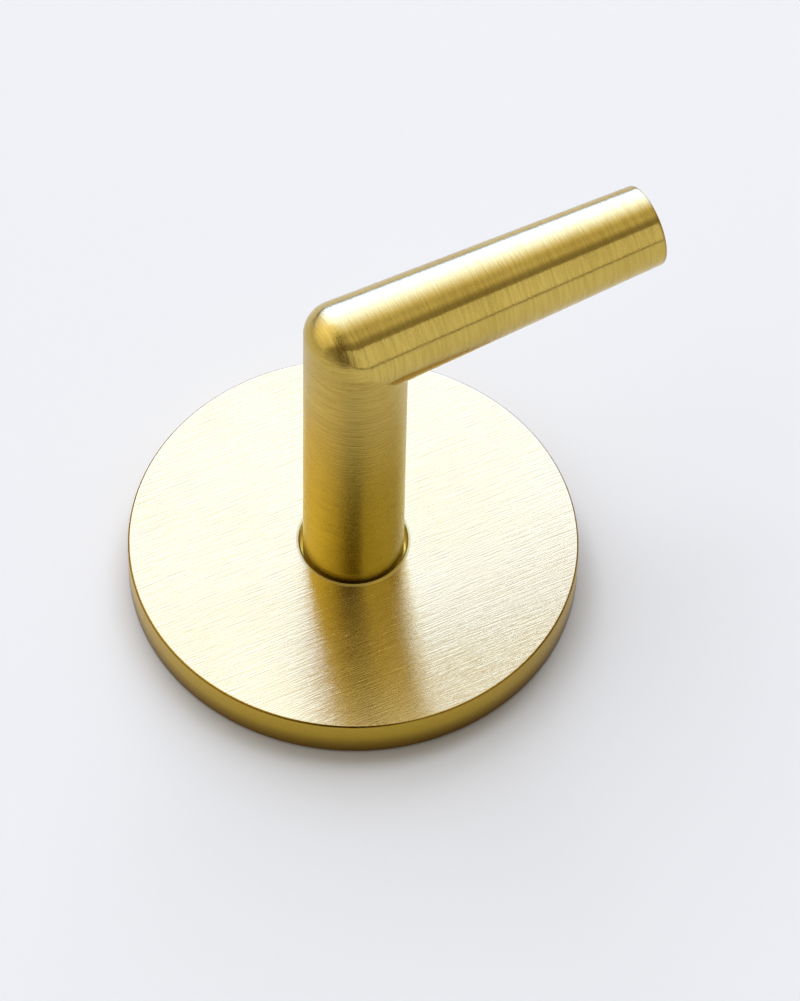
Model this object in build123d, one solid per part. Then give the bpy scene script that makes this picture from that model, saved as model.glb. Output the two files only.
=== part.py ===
from build123d import *
import math
import os

# Backplate, a turned disc that lies against the wall.
plate_diameter = 53.5
plate_thickness = 5.2
plate_front_round = 0.3
plate_back_chamfer = 0.3

# Hook rod: a post out of the wall and an arm that runs along it.
rod_diameter = 12.0
tip_diameter = 9.8
arm_height = 43.3  # wall to the arm's axis
arm_reach = 38.0  # post's axis to the arm's end
elbow_round = 3.4
round_runout = 0.2  # from the elbow's middle to where its outer round ends
tip_round = 0.35
foot_chamfer = 0.25

# Where the rod sits in the plate.
foot_depth = 1.6  # below the plate's front
foot_gap = 0.35  # open ring round the foot
recess_chamfer = 0.2
spigot_diameter = 8.0
spigot_chamfer = 0.3
braze_gap = 0.05

# Tapped hole for the wall stud, at the tapping size of M6.
stud_hole_diameter = 5.0
stud_hole_depth = 12.0
drill_point_angle = 118.0

plate_radius = plate_diameter / 2
rod_radius = rod_diameter / 2
tip_radius = tip_diameter / 2
spigot_radius = spigot_diameter / 2
stud_hole_radius = stud_hole_diameter / 2
bore_radius = spigot_radius + braze_gap
recess_radius = rod_radius + foot_gap
seat_height = plate_thickness - foot_depth


def make_backplate():
    edge = [
        (bore_radius, 0),
        (plate_radius - plate_back_chamfer, 0),
        (plate_radius, plate_back_chamfer),
        (plate_radius, plate_thickness),
        (recess_radius + recess_chamfer, plate_thickness),
        (recess_radius, plate_thickness - recess_chamfer),
        (recess_radius, seat_height),
        (bore_radius, seat_height),
    ]
    section = Plane.YZ * make_face(Polyline(*edge, close=True))
    disc = revolve(section, Axis.Z)
    front_rim = disc.edges().filter_by(GeomType.CIRCLE).filter_by_position(
        Axis.Z, plate_thickness, plate_thickness).sort_by(SortBy.RADIUS)[-1]
    return fillet(front_rim, plate_front_round)


# The arm's cone and the post's cylinder touch one common ball at the elbow,
# so that they meet in a flat mitre with no step anywhere round the seam.
taper = math.asin(rod_radius / math.hypot(arm_reach, tip_radius)) - math.atan2(tip_radius, arm_reach)


def arm_radius(reach):
    return (rod_radius - reach * math.sin(taper)) / math.cos(taper)


def make_post(top):
    drill_point = stud_hole_radius / math.tan(math.radians(drill_point_angle / 2))
    edge = [
        (stud_hole_radius, 0),
        (spigot_radius - spigot_chamfer, 0),
        (spigot_radius, spigot_chamfer),
        (spigot_radius, seat_height),
        (rod_radius - foot_chamfer, seat_height),
        (rod_radius, seat_height + foot_chamfer),
        (rod_radius, top),
        (0, top),
        (0, stud_hole_depth + drill_point),
        (stud_hole_radius, stud_hole_depth),
    ]
    return revolve(Plane.YZ * make_face(Polyline(*edge, close=True)), Axis.Z)


def make_arm(start):
    edge = [
        (start, arm_height),
        (start, arm_height - arm_radius(start)),
        (arm_reach, arm_height - tip_radius),
        (arm_reach, arm_height),
    ]
    axis = Axis((0, 0, arm_height), (0, 1, 0))
    return revolve(Plane.YZ * make_face(Polyline(*edge, close=True)), axis)


def round_outer_corner(rod, outer_corner, inner_corner):
    # The seam fades out at the rod's sides, so the half with the outer corner
    # is cut off just short of them, rounded and put back.
    outward = (outer_corner - inner_corner).normalized()
    middle = (outer_corner + inner_corner) * 0.5
    cut = Plane(middle + outward * round_runout, z_dir=outward)
    outer_half = split(rod, bisect_by=cut, keep=Keep.TOP)
    inner_half = split(rod, bisect_by=cut, keep=Keep.BOTTOM)
    seam = outer_half.edges().sort_by(Axis(middle, outward))[-1]
    return fillet(seam, elbow_round) + inner_half


def make_hook_rod():
    outer_corner = Vector(0, -rod_radius, arm_height + arm_radius(-rod_radius))
    inner_corner = Vector(0, rod_radius, arm_height - arm_radius(rod_radius))
    seam = inner_corner - outer_corner
    mitre = Plane(outer_corner, x_dir=(1, 0, 0), z_dir=Vector(0, -seam.Z, seam.Y))
    post = split(make_post(arm_height + rod_diameter), bisect_by=mitre, keep=Keep.BOTTOM)
    arm = split(make_arm(-rod_diameter), bisect_by=mitre, keep=Keep.TOP)
    rod = round_outer_corner(post + arm, outer_corner, inner_corner)
    tip_edge = rod.edges().filter_by(GeomType.CIRCLE).sort_by(Axis.Y)[-1]
    return fillet(tip_edge, tip_round)


os.makedirs("parts", exist_ok=True)
export_step(make_backplate(), "parts/backplate.step")
export_step(make_hook_rod(), "parts/hook_rod.step")
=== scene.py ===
import math
import bmesh
import bpy
from mathutils import Matrix, Vector


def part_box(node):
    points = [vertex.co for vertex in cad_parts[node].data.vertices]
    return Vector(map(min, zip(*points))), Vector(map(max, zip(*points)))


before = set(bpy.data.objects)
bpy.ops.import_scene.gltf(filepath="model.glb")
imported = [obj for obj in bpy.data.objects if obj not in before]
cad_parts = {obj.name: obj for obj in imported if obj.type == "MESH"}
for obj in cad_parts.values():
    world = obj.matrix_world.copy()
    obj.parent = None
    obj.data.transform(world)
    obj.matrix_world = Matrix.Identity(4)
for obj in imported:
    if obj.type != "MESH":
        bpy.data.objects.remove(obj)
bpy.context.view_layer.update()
print("frame loaded:", sorted(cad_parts))


def cornersOf(name):
    return [corner.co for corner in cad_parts[name].data.vertices]


# edges of the plate and the rod, read from the solids
plateRadius, _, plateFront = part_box("backplate")[1]
underFront = plateFront - 0.0005     # below the chamfer at the recess's mouth, and above its floor
recessRadius = min(corner.xy.length for corner in cornersOf("backplate") if corner.z > underFront)
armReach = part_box("hook_rod")[1][1]
besideEnd = armReach - 0.000001      # what lies past it is the arm's flat end
endHeights = [corner.z for corner in cornersOf("hook_rod") if corner.y > besideEnd]
endRadius = (max(endHeights) - min(endHeights)) / 2
armHeight = (max(endHeights) + min(endHeights)) / 2
print("radius of recess and arm's end, height of arm:", recessRadius, endRadius, armHeight)


def addNode(tree, kind, place, **values):
    node = tree.nodes.new("ShaderNode" + kind)
    node.location = place
    for name, value in values.items():
        setattr(node, name, value)
    return node


def feed(tree, slot, value):
    if isinstance(value, bpy.types.NodeSocket):
        tree.links.new(value, slot)
    elif slot.type == "RGBA":
        slot.default_value = (*value, 1.0)
    else:
        slot.default_value = value


def addMath(tree, place, operation, *terms):
    node = addNode(tree, "Math", place, operation=operation)
    for slot, term in zip(node.inputs, terms):
        feed(tree, slot, term)
    return node.outputs["Value"]


def addRange(tree, place, value, start, end, toStart=0.0, toEnd=1.0):
    node = addNode(tree, "MapRange", place)
    for name, number in zip(("From Min", "From Max", "To Min", "To Max"), (start, end, toStart, toEnd)):
        node.inputs[name].default_value = number
    feed(tree, node.inputs["Value"], value)
    return node.outputs["Result"]


def addMix(tree, place, share, first, second):
    node = addNode(tree, "Mix", place, data_type="RGBA")
    feed(tree, node.inputs["Factor"], share)
    ends = [slot for slot in node.inputs if slot.type == "RGBA"]
    for slot, value in zip(ends, (first, second)):
        feed(tree, slot, value)
    return next(slot for slot in node.outputs if slot.type == "RGBA")


def addDistance(tree, place, first, second):
    left, height = place
    square = addMath(tree, (left, height), "MULTIPLY", second, second)
    square = addMath(tree, (left + 150, height), "MULTIPLY_ADD", first, first, square)
    return addMath(tree, (left + 300, height), "SQRT", square)


def addNoise(tree, place, vector, size=1.0, detail=2.0):
    node = addNode(tree, "TexNoise", place)
    node.inputs["Scale"].default_value = 1.0 / size
    node.inputs["Detail"].default_value = detail
    feed(tree, node.inputs["Vector"], vector)
    return node.outputs["Fac"]


def addStretched(tree, place, vector, turn, sizes):
    node = addNode(tree, "Mapping", place, vector_type="TEXTURE")
    node.inputs["Rotation"].default_value = (0.0, 0.0, math.radians(turn))
    node.inputs["Scale"].default_value = sizes
    feed(tree, node.inputs["Vector"], vector)
    return node.outputs["Vector"]


# what of each noise is used, from its low end to its high end
noiseUsed = {"cloud": (0.42, 0.72), "stroke": (0.36, 0.64), "polish": (0.3, 0.7), "grain": (0.38, 0.62)}
# the tangents lie a little off the axes, so that they have a direction on every face
alongPost = (0.02, 0.03, 1.0)
alongArm = (0.02, 1.0, 0.03)


def makeBrass(look, here, marks, brushing, paintedEdge, shadeAndFoot, tree, shader):
    grain = addNoise(tree, (-500, -200), here, look["grain"])
    cloud = addNoise(tree, (-500, -500), here, look["cloud"], detail=3.0)
    dulled = addRange(tree, (-250, -500), cloud, *noiseUsed["cloud"], 0.0, look["dulled"])
    colour = addMix(tree, (-100, 500), dulled, look["brass"], look["tarnish"])
    # painted shade on the plate's rim and recess; on the rod, a yellower, less blue brass towards the
    # post's foot
    colour = addMix(tree, (0, 500), shadeAndFoot, colour, look["shadeAndFoot"])
    stroke = addRange(tree, (-250, 300), marks, *noiseUsed["stroke"], 0.0, look["strokes"])
    colour = addMix(tree, (200, 500), stroke, colour, look["groove"])
    # painted light at edges: a paler recess edge on the plate as a painted highlight, a darker end edge on
    # the rod as painted shade
    colour = addMix(tree, (400, 500), paintedEdge, colour, look["edge"])
    feed(tree, shader.inputs["Base Color"], colour)
    spread = look["spread"]
    pitted = look["pitted"]
    polish = addRange(tree, (-250, 100), marks, *noiseUsed["polish"], -spread, spread)
    pits = addRange(tree, (-250, -200), grain, *noiseUsed["grain"], -pitted, pitted)
    rough = addMath(tree, (200, 0), "ADD", addMath(tree, (0, 0), "ADD", polish, pits), look["roughness"])
    rough = addMath(tree, (400, 0), "MULTIPLY_ADD", paintedEdge, look["edgeRoughness"], rough)
    feed(tree, shader.inputs["Roughness"], rough)
    shader.inputs["Anisotropic"].default_value = look["brushed"]
    feed(tree, shader.inputs["Tangent"], brushing)
    bump = addNode(tree, "Bump", (600, -300))
    bump.inputs["Distance"].default_value = look["depth"]
    relief = addMath(tree, (400, -300), "MULTIPLY_ADD", grain, look["grainShare"], marks)
    feed(tree, bump.inputs["Height"], relief)
    feed(tree, shader.inputs["Normal"], bump.outputs["Normal"])


def newMetal(name):
    metal = bpy.data.materials.new(name)
    metal.use_nodes = True
    tree = metal.node_tree
    shader = tree.nodes["Principled BSDF"]
    shader.location = (900, 0)
    shader.inputs["Metallic"].default_value = 1.0
    here = addNode(tree, "TexCoord", (-2000, 0)).outputs["Object"]
    split = addNode(tree, "SeparateXYZ", (-1800, 0))
    feed(tree, split.inputs["Vector"], here)
    return metal, tree, shader, here, split.outputs


plateLook = {
    "brass": (0.64, 0.495, 0.165),
    "tarnish": (0.58, 0.435, 0.12),
    "groove": (0.53, 0.395, 0.11),
    # painted shade colour for the rim and the recess
    "shadeAndFoot": (0.60, 0.40, 0.04),
    # painted highlight colour for the recess's edge
    "edge": (0.78, 0.63, 0.20),
    # painted shade colour for the rim's back edge, also used along its front edge
    "line": (0.22, 0.12, 0.02),
    "roughness": 0.2,
    "edgeRoughness": 0.3,            # added along the recess's edge, which is painted paler as a highlight
    "spread": 0.03,                  # of roughness, by strokes and by grain
    "pitted": 0.05,
    "brushed": 0.95,                 # how far the strokes stretch the shine
    "strokes": 0.1,
    "dulled": 0.3,
    "depth": 0.000036,
    "grainShare": 0.06,
    "markWidth": 0.00012,            # strokes, across and along
    "markLength": 0.0035,
    "turn": 88.0,                    # degrees from x to the strokes
    "across": (1.0, 0.0, 0.02),
    "grain": 0.00013,
    "cloud": 0.012,
    "mouth": (recessRadius + 0.0006, recessRadius + 0.00037),   # painted highlight: the recess's edge is painted paler, and made rougher, as a bright line
    "front": (plateFront - 0.0003, plateFront - 0.0001),
    "rim": (plateRadius - 0.00025, plateRadius - 0.00015),   # painted shade: the rim, which mirrors the floor's contact shadow, and the recess are painted a darker, less blue brass
    "recess": (recessRadius + 0.00007, recessRadius + 0.00003),
    "back": (0.0030, 0.0003),        # painted shade: the rim is painted dark towards its back edge, where it mirrors the floor's contact shadow, and it is dark along its front edge
}


def makePlateBrass(look):
    metal, tree, shader, here, (x, y, z) = newMetal("brushedPlateBrass")
    radius = addDistance(tree, (-1600, 200), x, y)
    # the face is brushed straight, along the hook's arm
    sizes = (look["markLength"], look["markWidth"], look["markLength"])
    along = addStretched(tree, (-1000, 0), here, look["turn"], sizes)
    marks = addNoise(tree, (-700, 0), along, detail=3.0)
    # painted highlight: the recess's edge on the face is painted paler, and made rougher
    atMouth = addRange(tree, (-1000, 800), radius, *look["mouth"])
    atFront = addRange(tree, (-1000, 1100), z, *look["front"])
    paintedEdge = addMath(tree, (-600, 800), "MULTIPLY", atMouth, atFront)
    atRim = addRange(tree, (-1000, 1400), radius, *look["rim"])
    across = addMix(tree, (-300, -800), atRim, look["across"], alongPost)
    # painted shade: the rim and the recess take a darker, less blue brass
    inRecess = addRange(tree, (-1000, 2000), radius, *look["recess"])
    shadeAndFoot = addMath(tree, (-600, 2000), "MAXIMUM", atRim, inRecess)
    makeBrass(look, here, marks, across, paintedEdge, shadeAndFoot, tree, shader)
    # painted shade: the rim is painted dark towards its back edge, and along its front edge
    atBack = addRange(tree, (-1000, 1700), z, *look["back"])
    atEnds = addMath(tree, (-600, 1400), "MAXIMUM", atBack, atFront)
    dark = addMath(tree, (-400, 1400), "MULTIPLY", atRim, atEnds)
    plain = shader.inputs["Base Color"].links[0].from_socket
    feed(tree, shader.inputs["Base Color"], addMix(tree, (700, 500), dark, plain, look["line"]))
    return metal


rodLook = {
    "brass": (0.62, 0.455, 0.11),
    "tarnish": (0.52, 0.355, 0.07),
    "groove": (0.40, 0.265, 0.045),
    "shadeAndFoot": (0.66, 0.525, 0.052),
    # painted shade colour for the edge of the arm's end
    "edge": (0.45, 0.30, 0.07),
    "roughness": 0.21,
    "edgeRoughness": 0.1,
    "spread": 0.03,
    "pitted": 0.05,
    "brushed": 1.0,
    "strokes": 0.35,
    "dulled": 0.5,
    "depth": 0.00003,
    "grainShare": 0.1,
    "markWidth": 0.00028,
    "markLength": 0.0035,
    "grain": 0.00013,
    "cloud": 0.009,
    "seam": (armHeight - 0.00033, armHeight + 0.00067),   # y + z just below and just above the mitre
    "tip": (armReach - 0.0005, armReach - 0.0002),   # painted shade: a dark line is painted round the edge of the arm's end, from and to
    "tipEdge": (endRadius - 0.00026, endRadius + 0.00004),
    "end": armReach - 0.00005,
    "armHeight": armHeight,
    "foot": (0.034, 0.014),         # the post's brass turns yellower and less blue towards its foot
    "footShare": 0.85,
}


def makeRodBrass(look):
    metal, tree, shader, here, (x, y, z) = newMetal("brushedRodBrass")
    # brushed round the rod: the marks are narrow along the post and the arm, and long across
    narrow, long = look["markWidth"], look["markLength"]
    onPost = addStretched(tree, (-1500, 300), here, 0.0, (long, long, narrow))
    onArm = addStretched(tree, (-1500, -100), here, 0.0, (long, narrow, long))
    past = addRange(tree, (-1400, 700), addMath(tree, (-1600, 700), "ADD", y, z), *look["seam"])
    arm = addMath(tree, (-1300, 500), "GREATER_THAN", past, 0.5)
    beforeEnd = addMath(tree, (-1300, 900), "LESS_THAN", y, look["end"])
    arm = addMath(tree, (-1200, 500), "MULTIPLY", arm, beforeEnd)
    marks = addNoise(tree, (-700, 100), addMix(tree, (-1000, 100), arm, onPost, onArm), detail=3.0)
    axis = addMix(tree, (-300, -800), past, alongPost, alongArm)
    rise = addMath(tree, (-1700, 1100), "SUBTRACT", z, look["armHeight"])
    # painted shade: a dark line round the edge of the arm's end, also a little rougher
    atEdge = addRange(tree, (-1000, 1100), addDistance(tree, (-1500, 1100), x, rise), *look["tipEdge"])
    paintedEdge = addMath(tree, (-800, 800), "MULTIPLY", addRange(tree, (-1000, 800), y, *look["tip"]), atEdge)
    shadeAndFoot = addRange(tree, (-1000, 1400), z, *look["foot"], 0.0, look["footShare"])
    makeBrass(look, here, marks, axis, paintedEdge, shadeAndFoot, tree, shader)
    return metal


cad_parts["backplate"].material_slots[0].material = makePlateBrass(plateLook)
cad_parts["hook_rod"].material_slots[0].material = makeRodBrass(rodLook)
print("brass on plate and rod")

shot = {
    "bearing": 61.5,     # degrees round from the front, then up
    "height": 55.2,
    "distance": 0.7413,
    "lens": 279.55,      # millimetres, as the sensor
    "sensor": 36.0,
    "clip": (0.01, 20.0),
    "roll": 0.75,
    "aim": (0.00561, 0.00759),   # right and up from the middle of the plate's back
}


def fromBearing(bearing, height):
    a, e = math.radians(bearing), math.radians(height)
    return Vector((math.sin(a) * math.cos(e), -math.cos(a) * math.cos(e), math.sin(e)))


def placeCamera(shot):
    data = bpy.data.cameras.new("shotCamera")
    data.sensor_fit = "HORIZONTAL"
    data.sensor_width = shot["sensor"]
    data.lens = shot["lens"]
    data.clip_start, data.clip_end = shot["clip"]
    camera = bpy.data.objects.new("shotCamera", data)
    bpy.context.scene.collection.objects.link(camera)
    place = fromBearing(shot["bearing"], shot["height"]) * shot["distance"]
    back = place.normalized()
    right = Vector((0, 0, 1)).cross(back).normalized()
    up = back.cross(right)
    turn = math.radians(shot["roll"])
    rolledRight = right * math.cos(turn) + up * math.sin(turn)
    rolledUp = up * math.cos(turn) - right * math.sin(turn)
    target = rolledRight * shot["aim"][0] + rolledUp * shot["aim"][1]
    back = (place - target).normalized()
    right = rolledUp.cross(back).normalized()
    up = back.cross(right)
    camera.matrix_world = Matrix.Translation(place) @ Matrix((right, up, back)).transposed().to_4x4()
    bpy.context.scene.camera = camera


placeCamera(shot)

floorLook = {
    "radius": 1.0,
    "sides": 96,
    "colour": (0.855, 0.875, 0.94),
    "roughness": 0.9,
    "specular": 0.1,
}


def layFloor(look):
    mesh = bpy.data.meshes.new("studioFloor")
    shape = bmesh.new()
    bmesh.ops.create_circle(shape, cap_ends=True, segments=look["sides"], radius=look["radius"])
    shape.to_mesh(mesh)
    shape.free()
    floor = bpy.data.objects.new("studioFloor", mesh)
    bpy.context.scene.collection.objects.link(floor)
    paint = bpy.data.materials.new("paleFloor")
    paint.use_nodes = True
    shader = paint.node_tree.nodes["Principled BSDF"]
    shader.inputs["Base Color"].default_value = (*look["colour"], 1.0)
    shader.inputs["Roughness"].default_value = look["roughness"]
    shader.inputs["Specular IOR Level"].default_value = look["specular"]
    mesh.materials.append(paint)


layFloor(floorLook)

# lamps are set out by bearing round the object, as the camera is, and by height above the floor
# the metal and the floor have lamps of their own
# fade is the share of a lamp's height at which its light starts to fall, and the share at which it is gone
studio = {
    "panel": {
        "bearing": 238.0, "height": 35.5, "distance": 8.0, "facing": (238.0, 35.5), "size": (9.0, 11.2),
        "tint": (0.96, 1.0, 1.10), "fade": (0.45, 1.0), "glow": 1.15, "seenBy": "metal",
    },
    "shine": {
        "bearing": 238.0, "height": 35.5, "distance": 8.8, "facing": (238.0, 35.5), "size": (9.9, 12.32),
        "tint": (0.04, 0.155, 0.97), "fade": (0.42, 0.95), "glow": 10.6, "seenBy": "metal",
    },
    "floorKey": {
        "bearing": 243.0, "height": 49.0, "distance": 8.0, "facing": (243.0, 49.0), "size": (9.0, 8.4),
        "tint": (0.96, 1.0, 1.06), "fade": None, "glow": 2.45, "seenBy": "floor",
    },
    "card": {
        "bearing": 117.6, "height": 26.9, "distance": 10.32, "facing": (88.0, 0.0), "size": (11.3, 9.06),
        "tint": (0.92, 1.0, 1.15), "fade": None, "glow": 0.66, "seenBy": "metal",
    },
}


def hangLamp(name, look):
    data = bpy.data.lights.new(name, "AREA")
    data.shape = "RECTANGLE"
    data.size, data.size_y = look["size"]
    data.energy = look["glow"] * math.pi * data.size * data.size_y   # a lamp of any size keeps its glow
    data.color = look["tint"]
    lamp = bpy.data.objects.new(name, data)
    bpy.context.scene.collection.objects.link(lamp)
    lamp.location = fromBearing(look["bearing"], look["height"]) * look["distance"]
    lamp.rotation_euler = fromBearing(*look["facing"]).to_track_quat("Z", "Y").to_euler()
    lamp.visible_diffuse = look["seenBy"] != "metal"
    lamp.visible_glossy = look["seenBy"] != "floor"
    data.use_nodes = True
    tree = data.node_tree
    strength = 1.0
    if look["fade"]:
        across = addNode(tree, "SeparateXYZ", (-600, 0))
        feed(tree, across.inputs["Vector"], addNode(tree, "NewGeometry", (-800, 0)).outputs["Parametric"])
        strength = addRange(tree, (-400, 0), across.outputs["Y"], *look["fade"], 1.0, 0.0)
    if look["seenBy"] == "metal":
        bounces = addNode(tree, "LightPath", (-600, -300)).outputs["Diffuse Depth"]
        first = addMath(tree, (-400, -300), "LESS_THAN", bounces, 0.5)
        strength = addMath(tree, (-200, 0), "MULTIPLY", strength, first)
    feed(tree, tree.nodes["Emission"].inputs["Strength"], strength)


for name, look in studio.items():
    hangLamp(name, look)

room = {
    "pale": (1.65, 1.60, 1.50),
    "paleSide": (308.0, 50.0),   # bearing and height of the room's palest side
    "paleRise": 3.5,             # how soon the room turns dull away from there
    "dull": (0.80, 0.755, 0.62),
    "dark": (0.08, 0.045, 0.01),
    "camera": 54.0,              # bearing of the dark strip where the camera stands
    "strip": (0.10, 0.31),       # half its width, from where it is darkest to where it ends
    "stripEnd": (0.1, -0.2),     # the strip goes over the top and fades on the far side
    "board": 88.0,               # bearing of the dark board behind the card and above it
    "boardTop": (1.7, 3.2),      # its height over its distance, where it starts to fade and where it ends
    "boardShade": 0.37,
    "boardNear": 0.05,           # least distance, used on the sides that face away from it
    "skirting": (-0.01, 0.03),   # the room is dark at the floor's edge and below
    "floorShare": 0.62,          # what of the room's light the floor gets
}


def addFacing(tree, place, way, bearing, height):
    node = addNode(tree, "VectorMath", place, operation="DOT_PRODUCT")
    feed(tree, node.inputs[0], way)
    feed(tree, node.inputs[1], fromBearing(bearing, height))
    return node.outputs["Value"]


def paintRoom(look):
    world = bpy.data.worlds.new("studioRoom")
    bpy.context.scene.world = world
    world.use_nodes = True
    tree = world.node_tree
    way = addNode(tree, "TexCoord", (-1400, 0)).outputs["Generated"]
    paleness = addMath(tree, (-600, 0), "MAXIMUM", addFacing(tree, (-800, 0), way, *look["paleSide"]), 0.0)
    paleness = addMath(tree, (-400, 0), "POWER", paleness, look["paleRise"])
    colour = addMix(tree, (-200, 0), paleness, look["dull"], look["pale"])
    aside = addFacing(tree, (-800, -200), way, look["camera"] + 90.0, 0.0)
    aside = addRange(tree, (-400, -200), addMath(tree, (-600, -200), "ABSOLUTE", aside), *look["strip"])
    toCamera = addFacing(tree, (-800, -400), way, look["camera"], 0.0)
    behind = addRange(tree, (-400, -400), toCamera, *look["stripEnd"])
    clear = addMath(tree, (-200, -300), "MAXIMUM", aside, behind)
    up = addFacing(tree, (-1000, -800), way, 0.0, 90.0)
    ahead = addFacing(tree, (-1000, -600), way, look["board"], 0.0)
    ahead = addMath(tree, (-800, -600), "MAXIMUM", ahead, look["boardNear"])
    steepness = addMath(tree, (-600, -600), "DIVIDE", up, ahead)
    board = addRange(tree, (-400, -600), steepness, *look["boardTop"], look["boardShade"], 1.0)
    above = addRange(tree, (-400, -800), up, *look["skirting"])
    clear = addMath(tree, (-100, -500), "MULTIPLY", clear, board)
    clear = addMath(tree, (0, -300), "MULTIPLY", clear, above)
    colour = addMix(tree, (200, 0), clear, look["dark"], colour)
    toFloor = addNode(tree, "LightPath", (0, -600)).outputs["Is Diffuse Ray"]
    background = tree.nodes["Background"]
    feed(tree, background.inputs["Color"], colour)
    strength = addRange(tree, (200, -600), toFloor, 0.0, 1.0, 1.0, look["floorShare"])
    feed(tree, background.inputs["Strength"], strength)


paintRoom(room)
print("camera, floor and lamps set")

bpy.context.scene.view_settings.view_transform = "Standard"
